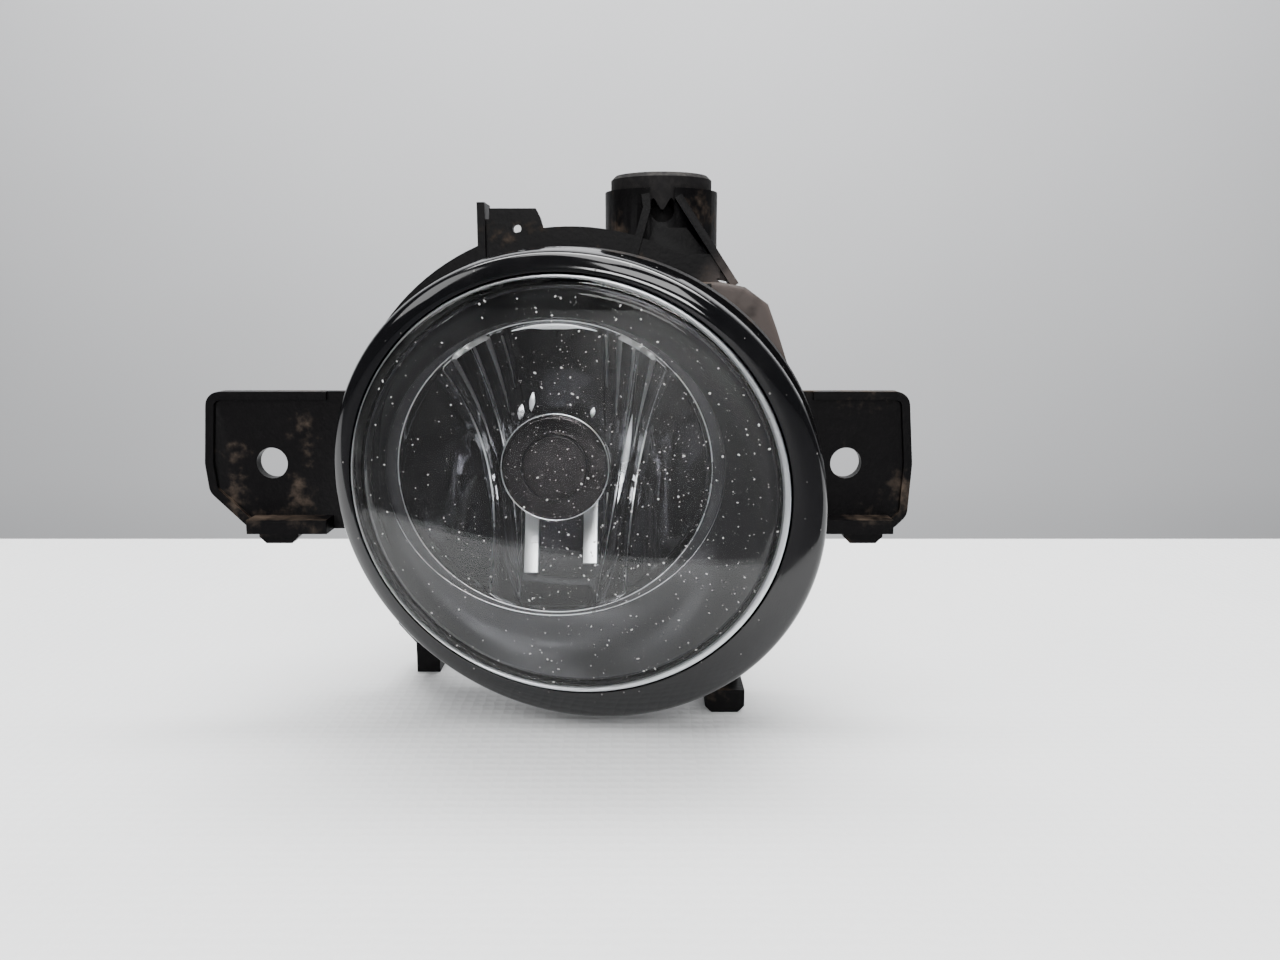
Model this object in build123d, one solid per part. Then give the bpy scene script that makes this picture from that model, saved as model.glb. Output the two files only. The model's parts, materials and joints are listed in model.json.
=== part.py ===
"""Round automotive fog lamp: an aimable lamp unit in a bolt-on carrier frame.

Row frame, millimetres: the origin is midway between the two fixing holes on the front faces of
the ears, +X runs towards the long-rimmed side, +Y runs backwards into the car and +Z is up.
"""

import os
from math import cos, radians, sin

from build123d import *

# ---------------------------------------------------------------- driving dimensions
# Fixing ears
hole_spacing = 120.0
hole_radius = 3.25
ear_thickness = 2.6
ear_corner = 3.6
ear_top = 15.0
ear_bottom = -14.0
ear_reach = 73.6  # from the middle of the lamp to the outer edge of an ear
ledge_depth = 5.4  # how far the shelf under each ear stands forward
ledge_thickness = 2.9

# Front glass and the plane it lies in
lens_radius = 42.2
lens_centre = (2.9, -22.0, -3.6)
lens_yaw = 7.0
lens_pitch = 10.5
lens_dome = 3.4
lens_wall = 2.4
lens_skirt = 6.0
lens_skirt_wall = 1.9
seal_height = 1.4

# Rim ring round the glass
ring_radius = lens_radius + 6.4
ring_offset = (1.3, -1.8)  # the rim's centre from the glass's, across and up its plane
ring_front = -0.9
ring_depth = 8.0
ring_wall = 1.3
ring_shoulder = 5.6
glass_gap = 0.3

# Rear housing
flange_radius = ring_radius - 1.3
flange_thickness = 2.4
collar_radius = lens_radius + 3.2
housing_wall = 2.2
collar_top = -4.6
lip_wall = 0.9
lip_top = -5.2
bowl_mid_radius = lens_radius - 4.7
bowl_mid_y = 12.0
bowl_back_radius = 21.0
bowl_back_y = 27.0
neck_radius = 18.0
neck_back_y = 38.0

# Reflector and its trim
aperture_half_width = lens_radius - 8.1
aperture_half_height = lens_radius - 12.0
aperture_edge = 2.6
aperture_y = -7.0
reflector_vertex_y = 21.9
reflector_wall = 2.2
trim_wall = 0.75
bulb_hole_radius = 9.5
screw_circle_radius = aperture_half_width - 6.1
screw_angles = (90.0, 210.0, 330.0)
vent_angle = 245.0
post_radius = 3.0
post_back_y = 15.0
head_seat_y = 24.0

# Bulb and its shield
bulb_glass_radius = 6.0
bulb_tip_y = -1.0
bulb_flange_radius = 16.0
bayonet_radius = 12.6
bayonet_lug_reach = 15.2
bayonet_lug_half_angle = 15.0
bayonet_turn = 45.0
lip_length = 3.2
seal_squeeze = 1.15
socket_width = 21.0
socket_depth = 13.0
socket_drop = 32.0
socket_wall = 2.0
shield_radius = 11.0
shield_front_y = -8.4
shield_depth = 12.0
shield_wall = 0.8

# Carrier ring, pivot and feet
carrier_centre_x = 2.5
carrier_inner = 43.6
carrier_outer = 48.6
pivot_y = 9.0
pivot_radius = 2.5
carrier_front_y = pivot_y - pivot_radius - 0.5
carrier_back_y = pivot_y + pivot_radius + 1.0
running_gap = 0.05
side_gap = 0.9
floor_z = -54.3

# Height adjuster
tube_x = 21.6
tube_y = 20.0
tube_radius = 12.25
tube_bore = 11.15
tube_top = 56.6
tube_bottom = 37.0
wheel_radius = 10.95
wheel_top = 60.0
wheel_teeth = 18
tooth_height = 3.0
notch_width = 5.0
notch_bottom = 49.5
screw_radius = 3.0
bulkhead_z = 44.0
bulkhead_thickness = 2.0
nut_size = 9.0
nut_height = 5.0
nut_pin_radius = 1.5
nut_pin_z = 33.0
nut_pin_clearance = 0.25

# ---------------------------------------------------------------- placing helpers
yaw = radians(lens_yaw)
pitch = radians(lens_pitch)
across = Vector(cos(yaw), -sin(yaw), 0)
forward = Vector(-sin(yaw) * cos(pitch), -cos(yaw) * cos(pitch), -sin(pitch))
glass_plane = Plane(origin=lens_centre, x_dir=across, z_dir=forward)
rim_plane = Plane(origin=(glass_plane * Pos(*ring_offset, 0)).position, x_dir=across, z_dir=forward)


def rearward(y, x=0.0, z=0.0):
    """A plane facing backwards at depth y, with its own X along +X and its own Y along -Z."""
    return Plane(origin=(x, y, z), x_dir=(1, 0, 0), z_dir=(0, 1, 0))


def turned(points, plane):
    """A solid turned about the plane's Z axis from (radius, height) points."""
    profile = make_face(Polyline(*points, close=True))
    return plane.location * revolve(Plane.XZ * profile, Axis.Z, 360)


def rod(plane, radius, start, end):
    """A cylinder along the plane's Z axis from start to end."""
    return plane.location * Pos(0, 0, start) * Cylinder(
        radius, end - start, align=(Align.CENTER, Align.CENTER, Align.MIN)
    )


def block(x0, x1, y0, y1, z0, z1):
    """A box between two corners."""
    return Pos((x0 + x1) / 2, (y0 + y1) / 2, (z0 + z1) / 2) * Box(x1 - x0, y1 - y0, z1 - z0)


def slab(points, y0, y1):
    """A plate with its outline in the XZ plane, from y0 back to y1."""
    outline = make_face(Polyline(*points, close=True))
    return extrude(Plane.XZ.offset(-y0) * outline, -(y1 - y0))


def ring_points(count, radius, first=0.0):
    """Places on a circle about the Y axis as (x, z, angle)."""
    for i in range(count):
        angle = first + 360.0 / count * i
        yield radius * cos(radians(angle)), radius * sin(radians(angle)), angle


def oval(y, half_width, half_height):
    """An oval face across the optical axis."""
    return rearward(y) * Ellipse(half_width, half_height)


# ---------------------------------------------------------------- lamp unit
groove_floor = -(lens_skirt + seal_height)
flange_front = -ring_depth
flange_back = flange_front - flange_thickness
lip_radius = lens_radius - lens_skirt_wall - 0.2
trim_radius = lip_radius - lip_wall - 0.5


def lens():
    """Clear glass: a shallow dome with a skirt that stands in the housing's groove."""
    dome_radius = (lens_radius**2 + lens_dome**2) / (2 * lens_dome)
    ball_centre = Pos(0, 0, lens_dome - dome_radius)
    blank = rod(Plane.XY, lens_radius, -lens_skirt, lens_dome) & ball_centre * Sphere(dome_radius)
    hollow = rod(Plane.XY, lens_radius - lens_skirt_wall, -lens_skirt, lens_dome)
    hollow &= ball_centre * Sphere(dome_radius - lens_wall)
    return glass_plane.location * (blank - hollow)


def lens_seal():
    """The bead that the glass's skirt sits on."""
    inner, outer = lens_radius - lens_skirt_wall, lens_radius
    return turned([(inner, -lens_skirt), (outer, -lens_skirt), (outer, groove_floor), (inner, groove_floor)], glass_plane)


def lens_ring():
    """The glossy rim: a rounded front and an outer skirt that stands on the housing's flange."""
    outline = [
        (lens_radius - 4, ring_front),
        (ring_radius - ring_shoulder, ring_front - 0.2),
        (ring_radius - 3.6, ring_front - 0.7),
        (ring_radius - 1.9, ring_front - 1.8),
        (ring_radius - 0.7, ring_front - 3.4),
        (ring_radius, ring_front - 5.6),
        (ring_radius, -ring_depth),
        (lens_radius - 4, -ring_depth),
    ]
    body = turned(outline, rim_plane)
    body -= rod(rim_plane, ring_radius - ring_wall, -ring_depth - 1, collar_top)
    return body - rod(glass_plane, lens_radius + glass_gap, -ring_depth - 2, 2)


def housing_bowl(inset):
    """The bowl's outer form, drawn in by inset all round."""
    front = (glass_plane * Pos(0, 0, flange_back + 0.5)).position
    sections = [
        Plane(origin=front, x_dir=across, z_dir=-forward) * Circle(collar_radius - inset),
        rearward(bowl_mid_y, 1.2) * Circle(bowl_mid_radius - inset),
        rearward(bowl_back_y) * Circle(bowl_back_radius - inset),
    ]
    return loft(sections, ruled=True)


def posts(radius, start, end):
    """Three rods round the optical axis, at the reflector's fixings."""
    rods = Part()
    for x, z, _ in ring_points(len(screw_angles), screw_circle_radius, screw_angles[0]):
        rods += rod(rearward(0, x, z), radius, start, end)
    return rods


def trim_form(inset):
    """Oval-to-round form between the reflector's mouth and the glass, drawn in by inset."""
    circle = (glass_plane * Pos(0, 0, lip_top + trim_wall)).position
    sections = [
        Plane(origin=circle, x_dir=across, z_dir=-forward) * Circle(trim_radius - inset),
        oval(aperture_y, aperture_half_width + trim_wall - inset, aperture_half_height + trim_wall - inset),
    ]
    return loft(sections, ruled=True)


def pivot_plane(side):
    """The pivot's own plane, looking outwards along X on one side."""
    return Plane(origin=(0, pivot_y, 0), x_dir=(0, 0, 1), z_dir=(side, 0, 0))


def cheek_face(side):
    """How far out the inside face of the carrier is, at the pivot."""
    return carrier_inner + side * carrier_centre_x


def nut_pocket():
    """The space that the nut moves in."""
    mouth = nut_size / 2 + 0.5
    return block(tube_x - mouth, tube_x + mouth, 12.8, tube_y + 6, 26.0, nut_pin_z + 4)


def arm_block():
    """The adjuster arm on top of the bowl: two cheeks with a slot for the nut's pins."""
    half = nut_size / 2 + 2.6
    rise = nut_pin_radius + nut_pin_clearance
    reach = nut_pin_radius + 2.2
    arm = block(tube_x - half, tube_x + half, 9.0, tube_y + 5.4, 20.0, nut_pin_z + 3.2)
    return arm - nut_pocket() - block(
        tube_x - 9, tube_x + 9, tube_y - reach, tube_y + reach, nut_pin_z - rise, nut_pin_z + rise
    )


def vent_plane():
    """Where the breather stands on the lower slope of the bowl."""
    run, drop = bowl_back_y - bowl_mid_y, bowl_mid_radius - bowl_back_radius
    middle = (bowl_mid_y + bowl_back_y) / 2
    radius = (bowl_mid_radius + bowl_back_radius) / 2
    out_x, out_z = cos(radians(vent_angle)), sin(radians(vent_angle))
    return Plane(
        origin=(radius * out_x + 0.6, middle, radius * out_z),
        x_dir=(-out_z, 0, out_x),
        z_dir=(run * out_x, drop, run * out_z),
    )


def wedge(angle, half_angle, reach, depth):
    """A pie-slice prism about Z, for cutting lugs and slots out of turned shapes."""
    first, last = radians(angle - half_angle), radians(angle + half_angle)
    slice_face = make_face(
        Polyline((0, 0), (reach * cos(first), reach * sin(first)), (reach * cos(last), reach * sin(last)), close=True)
    )
    return extrude(slice_face, depth, both=True)


def rear_housing():
    """Black plastic shell: flange and groove in front, bowl behind, bulb neck at the back."""
    shell = rod(rim_plane, flange_radius, flange_back, flange_front)
    shell += rod(glass_plane, lens_radius + 2.6, flange_back, collar_top)
    shell += housing_bowl(0)
    shell += rod(rearward(0), neck_radius, bowl_back_y - 3, neck_back_y)
    for side in (-1, 1):
        shell += rod(pivot_plane(side), pivot_radius + 3.2, 30, cheek_face(side) - side_gap)
    shell += posts(post_radius + 1.4, post_back_y, head_seat_y)
    shell += arm_block() - housing_bowl(1)
    shell -= nut_pocket() - housing_bowl(housing_wall - 0.9)
    shell += rod(vent_plane(), 4.6, -4, 4)
    # hollow it out
    inside = housing_bowl(housing_wall) - posts(post_radius + 1.4, post_back_y, head_seat_y)
    inside -= rod(rearward(0), 40, bowl_back_y - housing_wall, 60)
    inside += rod(rearward(0), neck_radius - 2.4, bowl_back_y - 6, neck_back_y - lip_length)
    inside += rod(rearward(0), bayonet_radius + 0.3, bowl_back_y, neck_back_y + 1)
    inside += rod(glass_plane, lens_radius + 0.3, groove_floor, 5) - rod(glass_plane, lip_radius, -30, lip_top)
    inside += rod(glass_plane, lip_radius - lip_wall, flange_back - 2, 5)
    inside += rod(glass_plane, lip_radius + 1.4, flange_back - 2, groove_floor - 1.4)
    shell -= inside
    shell -= posts(1.7, 5, head_seat_y + 2)
    for side in (-1, 1):
        shell -= rod(pivot_plane(side), pivot_radius + running_gap, cheek_face(side) - 4.6, 80)
    shell -= rod(vent_plane(), 2.4, -12, 5)
    slots = Part()
    for _, _, angle in ring_points(3, 1, 90 - bayonet_turn):
        slots += rod(Plane.XY, bayonet_lug_reach + 0.5, 0, 2 * lip_length) & wedge(
            angle, bayonet_lug_half_angle + 3, 30, 40
        )
    return shell - rearward(neck_back_y - 1.5 * lip_length).location * slots


def reflector_form(offset, step):
    """The oval bowl's form: drawn outwards by offset, its vertex pushed back by step."""
    sections = []
    depth = reflector_vertex_y - aperture_y
    for share in (1.0, 0.82, 0.64, 0.46, 0.3, 0.16):
        half = (aperture_half_width - aperture_edge) * share
        tall = (aperture_half_height - 0.6) * share
        y = aperture_y + depth * (1 - share**2) + step
        sections.append(oval(y, half + offset, tall + offset))
    return loft(sections)


def reflector():
    """Bright bowl in upright bands: a middle panel, two stepped flutes and two outer hollows."""
    rim = extrude(oval(aperture_y, aperture_half_width + trim_wall, aperture_half_height + trim_wall), reflector_wall)
    shell = reflector_form(reflector_wall, 0.6) + rim + posts(post_radius, 0, post_back_y)
    hollow = reflector_form(0, 0) + extrude(oval(aperture_y - 3, 31.5, 29.6), 3.0)
    for inner, outer, step in ((12.0, 18.5, 0.5), (18.5, 40.0, 1.0)):
        bands = block(inner, outer, -20, 30, -40, 40) + block(-outer, -inner, -20, 30, -40, 40)
        hollow += reflector_form(0, step) & bands
    shell -= hollow
    shell -= posts(1.25, 6, post_back_y + 1)
    back = block(-60, 60, reflector_vertex_y - 1.6, 60, -60, 60)
    return shell - rod(rearward(0), bulb_hole_radius, 5, 40) - back


def trim_bezel():
    """The smooth trim that closes the space between the reflector and the glass."""
    foot = rod(glass_plane, lip_radius - 0.1, lip_top, lip_top + trim_wall)
    return trim_form(0) + foot - trim_form(trim_wall)


def bulb_shield():
    """Bright cap in front of the bulb, on two legs that stand on the reflector."""
    cap = rod(rearward(0), shield_radius, shield_front_y, shield_front_y + shield_depth)
    cap = fillet(cap.edges().group_by(Axis.Y)[0], 1.2)
    cap += rod(rearward(0), shield_radius * 0.62, shield_front_y - 0.8, shield_front_y + 1)
    cap -= rod(rearward(0), shield_radius - shield_wall, shield_front_y + shield_wall, 20)
    back = shield_front_y + shield_depth
    for x in (-6.5, 5.5):
        leg = block(x - 1.4, x + 1.4, back - 1.6, back - 0.6, -24.5, -8.4)
        cap += leg - rod(rearward(0), shield_radius - shield_wall, -20, 20)
    cap += block(-6.5, 5.5, back - 1.6, back - 0.6, -13.4, -11.4)
    return Pos(0, 0, 0.6) * cap


def reflector_screw(x, z):
    """Self-tapping screw driven in from behind."""
    plane = rearward(0, x, z)
    head = rod(plane, 3.4, head_seat_y, head_seat_y + 2.2)
    head = fillet(head.edges().group_by(Axis.Y)[-1], 0.8)
    recess = rod(plane, 0.9, head_seat_y + 0.8, head_seat_y + 3)
    cross = plane.location * Pos(0, 0, head_seat_y + 1.7) * (Box(3.6, 0.8, 1.2) + Box(0.8, 3.6, 1.2))
    return head + rod(plane, 1.25, 7.5, head_seat_y) - recess - cross


def vent_cap():
    """Rubber breather cap over the stub on the bowl."""
    points = [(0, 4), (4.6, 4), (4.6, 1.2), (5.9, 1.2), (5.9, 4.6), (4.6, 6.2), (0, 6.6)]
    return turned(points, vent_plane())


# ---------------------------------------------------------------- bulb
flange_seat_y = neck_back_y + seal_squeeze
socket_y = flange_seat_y + 2.4 + socket_depth / 2 - 2.0


def bulb_base():
    """Bulb base: bayonet barrel with three lugs, flange and a plug socket that hangs down."""
    body = rod(rearward(0), 8.4, 19.0, 26.0) + rod(rearward(0), bayonet_radius, 25.0, flange_seat_y)
    body += rod(rearward(0), bulb_flange_radius, flange_seat_y, flange_seat_y + 2.4)
    lug_back = neck_back_y - lip_length - 0.2
    ring = rod(Plane.XY, bayonet_lug_reach, 0, 2.4)
    for _, _, angle in ring_points(3, 1, 90):
        body += rearward(lug_back - 2.4).location * (ring & wedge(angle, bayonet_lug_half_angle, 30, 40))
    half_w, half_d = socket_width / 2, socket_depth / 2
    body += rod(rearward(0), 13.0, flange_seat_y, socket_y + half_d)
    shell = block(-half_w, half_w, socket_y - half_d, socket_y + half_d, -socket_drop, 4)
    shell = fillet(shell.edges().filter_by(Axis.Z), 2.6)
    body += shell
    for side in (-1, 1):
        body += block(side * 5 - 0.8, side * 5 + 0.8, socket_y + half_d - 1, socket_y + half_d + 1.4, -26, -14)
    mouth = block(
        -half_w + socket_wall,
        half_w - socket_wall,
        socket_y - half_d + socket_wall,
        socket_y + half_d - socket_wall,
        -socket_drop - 1,
        -16.0,
    )
    body -= fillet(mouth.edges().filter_by(Axis.Z), 1.2)
    body -= rod(rearward(0), bulb_glass_radius, 15, 22.0)
    for side in (-1, 1):
        body -= block(side * 3.8 - 1.4, side * 3.8 + 1.4, socket_y - 0.4, socket_y + 0.4, -17, -12)
    return body


def bulb_seal():
    """Rubber ring under the bulb's flange."""
    points = [
        (13.2, neck_back_y + 0.05),
        (15.6, neck_back_y + 0.05),
        (15.6, flange_seat_y),
        (13.2, flange_seat_y),
    ]
    return turned(points, rearward(0))


def bulb_glass():
    """Glass capsule, closed and rounded at the front."""
    r, wall = bulb_glass_radius, 0.9
    outside = rod(rearward(0), r, bulb_tip_y + r, 22.0) + Pos(0, bulb_tip_y + r, 0) * Sphere(r)
    inside = rod(rearward(0), r - wall, bulb_tip_y + r, 18.0) + Pos(0, bulb_tip_y + r, 0) * Sphere(r - wall)
    return outside - inside


def bulb_filament():
    """Coil between two support wires."""
    coil = rod(rearward(0), 0.7, 5.0, 10.0)
    front = rod(rearward(0, 2.4), 0.3, 4.6, 18.0) + block(0, 2.4, 4.6, 5.2, -0.3, 0.3)
    back = rod(rearward(0, -2.4), 0.3, 9.6, 18.0) + block(-2.4, 0, 9.6, 10.2, -0.3, 0.3)
    return coil + front + back


def contact_blade(x):
    """Flat terminal in the plug socket."""
    return block(x - 1.4, x + 1.4, socket_y - 0.4, socket_y + 0.4, -25.0, -12.0)


# ---------------------------------------------------------------- carrier
def ear(side, low_corner):
    """One fixing ear: plate with a raised edge, a shelf below and a wall back to the ring."""
    foot = cheek_face(side) + 0.4
    outline = Polyline(
        (foot, ear_top),
        (ear_reach - 1.2, ear_top),
        (ear_reach, 0),
        (ear_reach - 0.6, ear_bottom + low_corner),
        (ear_reach - 0.6 - low_corner, ear_bottom),
        (foot, ear_bottom),
        close=True,
    )
    face = make_face(outline)
    face = Plane.XZ * fillet([v for v in face.vertices() if v.X > foot + 1 and abs(v.Y) > 1], ear_corner - 0.6)
    plate = extrude(face, -ear_thickness)
    edge = extrude(face - offset(face, -1.7), 1.1) - block(0, foot + 6.2, -9, 0, -40, 40)
    shelf_end = ear_reach - 1.4 - low_corner
    shelf = block(foot + 6.2, shelf_end, -ledge_depth, ear_thickness, ear_bottom, ear_bottom + ledge_thickness)
    lip = block(foot + 13, shelf_end - 1.5, -2.6, 0.4, ear_bottom - 2.6, ear_bottom + 0.5)
    lip = chamfer(lip.edges().filter_by(Axis.Y).group_by(Axis.Z)[0], 1.4)
    wall = block(foot, foot + 4.2, 0, carrier_back_y, -11.5, 12.5)
    piece = plate + edge + shelf + lip + wall
    for z in (-9.5, 9.0):
        piece += Pos(0, 0, z) * extrude(
            make_face(
                Polyline(
                    (foot, ear_thickness - 0.5),
                    (foot + 18, ear_thickness - 0.5),
                    (foot + 4, carrier_back_y),
                    (foot, carrier_back_y),
                    close=True,
                )
            ),
            1.8,
        )
    piece -= rod(Plane(origin=(hole_spacing / 2, 0, 0), x_dir=(1, 0, 0), z_dir=(0, 1, 0)), hole_radius, -3, 8)
    return piece if side > 0 else mirror(piece, about=Plane.YZ)


def strip(points, width, y0, y1):
    """A rib of constant width along a line in the XZ plane."""
    line = Polyline(*points)
    return extrude(Plane.XZ.offset(-y0) * trace(line, width), -(y1 - y0))


def top_tab():
    """Thin clip tab on top of the ring, with its side fin."""
    plate = slab([(-14.2, 42), (-14.2, 52.2), (-4.6, 52.2), (-3.7, 50.4), (-2.5, 46), (-2.2, 42)], 6.0, 8.2)
    plate -= rod(rearward(0, -8.5, 48.1), 0.9, 0, 20)
    return plate + block(-16.5, -14.9, 4.6, carrier_back_y, 41, 53.3) + block(-15, -14, 6.0, 8.2, 42, 50)


def foot(x0, x1, y0, y1):
    """Foot rail under the ring, on an upright that reaches the ring."""
    rail = block(x0, x1, y0, y1, floor_z, floor_z + 5.0)
    rail = chamfer(rail.edges().filter_by(Axis.Y).group_by(Axis.Z)[0], 1.4)
    upright = block(x0 + 0.8, x1 - 0.8, carrier_front_y, carrier_back_y, floor_z + 3, -33.0)
    return rail + upright


def raked_foot(x0, x1):
    """Foot that reaches back and down from the ring."""
    side = Polyline(
        (carrier_front_y, -28.0),
        (carrier_front_y, -37.0),
        (22.0, -47.0),
        (22.0, floor_z),
        (30.0, floor_z),
        (30.0, -44.0),
        (carrier_back_y, -33.0),
        (carrier_back_y, -28.0),
        close=True,
    )
    return Pos(x0, 0, 0) * extrude(Plane.YZ * make_face(side), x1 - x0)


def ring_corner():
    """Blunt corner that stands out of the ring beside the screwdriver guide."""
    corner = slab([(22, 30), (23, 37.2), (33.6, 37.2), (38.6, 36.2), (43.4, 32.7), (45.4, 27.4), (48.2, 19.0), (40, 16)], 1.6, 12.0)
    return fillet(corner.edges().group_by(Axis.Y)[0], 1.4)


def carrier_frame():
    """The moulded carrier: ring, ears, feet, top tab and the tube of the height adjuster."""
    ring_plane = rearward(0, carrier_centre_x)
    tube_plane = Plane(origin=(tube_x, tube_y, 0))
    frame = rod(ring_plane, carrier_outer, carrier_front_y, carrier_back_y)
    frame += rod(ring_plane, carrier_outer - 1.6, carrier_back_y - 1, carrier_back_y + 3.5)
    frame += rod(tube_plane, tube_radius, tube_bottom, tube_top)
    frame += block(tube_x - 12, tube_x + 12, carrier_front_y, 14, 38, 43)
    frame += foot(31.0, 39.5, -2.0, 25.0) + raked_foot(-36.5, -31.0)
    frame += block(-2.0, 12.0, 3.2, carrier_back_y, floor_z, -47.5) + ring_corner()
    frame += block(-2.0, 12.0, carrier_front_y, carrier_back_y, floor_z, -42.0)
    frame += ear(1, 3.0) + ear(-1, 8.0) + top_tab()
    # screwdriver guide below the notch
    frame += strip([(24.8, 54.6), (36.8, 36.6)], 1.6, 5.0, 11.0)
    frame += strip([(18.0, 55.0), (18.4, 52.4), (15.0, 40.6)], 1.6, 5.0, 11.0)
    frame += slab([(19.8, 48.4), (26.6, 48.4), (35.6, 37.4), (16.6, 40.6)], 7.4, 9.6)
    # take out the middle and the bores
    frame -= rod(ring_plane, carrier_inner, -10, carrier_back_y + 5)
    frame -= block(tube_x - 10, tube_x + 10, -10, 30, 28, tube_bottom - 0.1)
    frame -= rod(tube_plane, tube_bore, bulkhead_z + bulkhead_thickness, tube_top + 1)
    frame -= rod(tube_plane, tube_bore, tube_bottom - 1, bulkhead_z)
    frame -= rod(tube_plane, screw_radius + running_gap, bulkhead_z - 1, bulkhead_z + bulkhead_thickness + 1)
    half = notch_width / 2
    frame -= block(tube_x - half, tube_x + half, 0, tube_y - 6, notch_bottom + half, tube_top + 1)
    frame -= rod(rearward(0, tube_x, notch_bottom + half), half, 0, tube_y - 6)
    for side in (-1, 1):
        frame -= rod(pivot_plane(side), pivot_radius, 30, 80)
    return frame


def pivot_pin(side):
    """Steel pivot pin, pressed into the carrier and running in the housing's boss."""
    tip = cheek_face(side) - 4.2
    pin = rod(pivot_plane(side), pivot_radius, tip, cheek_face(side) + 5.2)
    return chamfer(pin.edges().group_by(Axis.X)[0 if side > 0 else -1], 0.4)


# ---------------------------------------------------------------- height adjuster
def adjuster_wheel():
    """Crown wheel in the top of the tube, turned through the notch by a screwdriver."""
    plane = Plane(origin=(tube_x, tube_y, 0))
    crown = wheel_top - 6.4
    wheel = rod(plane, wheel_radius, crown, wheel_top)
    wheel = chamfer(wheel.edges().group_by(Axis.Z)[-1], 0.9)
    teeth = Part()
    for _, _, angle in ring_points(wheel_teeth, 1):
        teeth += wedge(angle, 90.0 / wheel_teeth, 30, 80)
    ring = rod(Plane.XY, wheel_radius - 0.2, crown - tooth_height, crown) - rod(Plane.XY, 6.9, 0, 90)
    wheel += plane.location * (ring & teeth)
    wheel += rod(plane, 5.0, bulkhead_z + bulkhead_thickness + 0.1, crown)
    return wheel - rod(plane, screw_radius, 0, wheel_top - 3)


def adjuster_screw():
    """Adjusting screw, with the groove that its clip sits in."""
    plane = Plane(origin=(tube_x, tube_y, 0))
    screw = rod(plane, screw_radius, 27.6, wheel_top - 3)
    screw = chamfer(screw.edges().group_by(Axis.Z)[0], 0.6)
    return screw - (rod(plane, 6, 42.6, 43.8) - rod(plane, screw_radius - 0.6, 40, 50))


def screw_clip():
    """Clip under the bulkhead that holds the screw up."""
    plane = Plane(origin=(tube_x, tube_y, 0))
    ring = rod(plane, 5.2, 42.6, 43.8) - rod(plane, screw_radius - 0.6, 40, 50)
    return ring - block(tube_x - 1.2, tube_x + 1.2, tube_y, tube_y + 8, 40, 50)


def adjuster_nut():
    """Nut that rides on the screw; its two pins lift and lower the housing's arm."""
    half = nut_size / 2
    nut = block(tube_x - half, tube_x + half, tube_y - half, tube_y + half, nut_pin_z - nut_height / 2, nut_pin_z + nut_height / 2)
    nut = chamfer(nut.edges().filter_by(Axis.Z), 0.8)
    pin = Plane(origin=(tube_x, tube_y, nut_pin_z), x_dir=(0, 0, 1), z_dir=(1, 0, 0))
    nut += rod(pin, nut_pin_radius, -half - 2.3, half + 2.3)
    return nut - rod(Plane(origin=(tube_x, tube_y, 0)), screw_radius + running_gap, 0, 60)


# ---------------------------------------------------------------- write the pieces
def main():
    os.makedirs("parts", exist_ok=True)
    pieces = {
        "carrier_frame": carrier_frame(),
        "pivot_pin_right": pivot_pin(1),
        "pivot_pin_left": pivot_pin(-1),
        "rear_housing": rear_housing(),
        "lens": lens(),
        "lens_seal": lens_seal(),
        "lens_ring": lens_ring(),
        "reflector": reflector(),
        "trim_bezel": trim_bezel(),
        "bulb_shield": bulb_shield(),
        "vent_cap": vent_cap(),
        "bulb_base": bulb_base(),
        "bulb_seal": bulb_seal(),
        "bulb_glass": bulb_glass(),
        "bulb_filament": bulb_filament(),
        "contact_blade_1": contact_blade(-3.8),
        "contact_blade_2": contact_blade(3.8),
        "adjuster_wheel": adjuster_wheel(),
        "adjuster_screw": adjuster_screw(),
        "screw_clip": screw_clip(),
        "adjuster_nut": adjuster_nut(),
    }
    for i, (x, z, _) in enumerate(ring_points(len(screw_angles), screw_circle_radius, screw_angles[0]), 1):
        pieces[f"reflector_screw_{i}"] = reflector_screw(x, z)
    pieces["bulb_shield"] -= pieces["reflector"]
    for name, shape in pieces.items():
        export_step(shape, f"parts/{name}.step")


if __name__ == "__main__":
    main()
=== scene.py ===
"""Round fog lamp in its carrier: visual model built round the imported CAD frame."""

import json
import math

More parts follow.
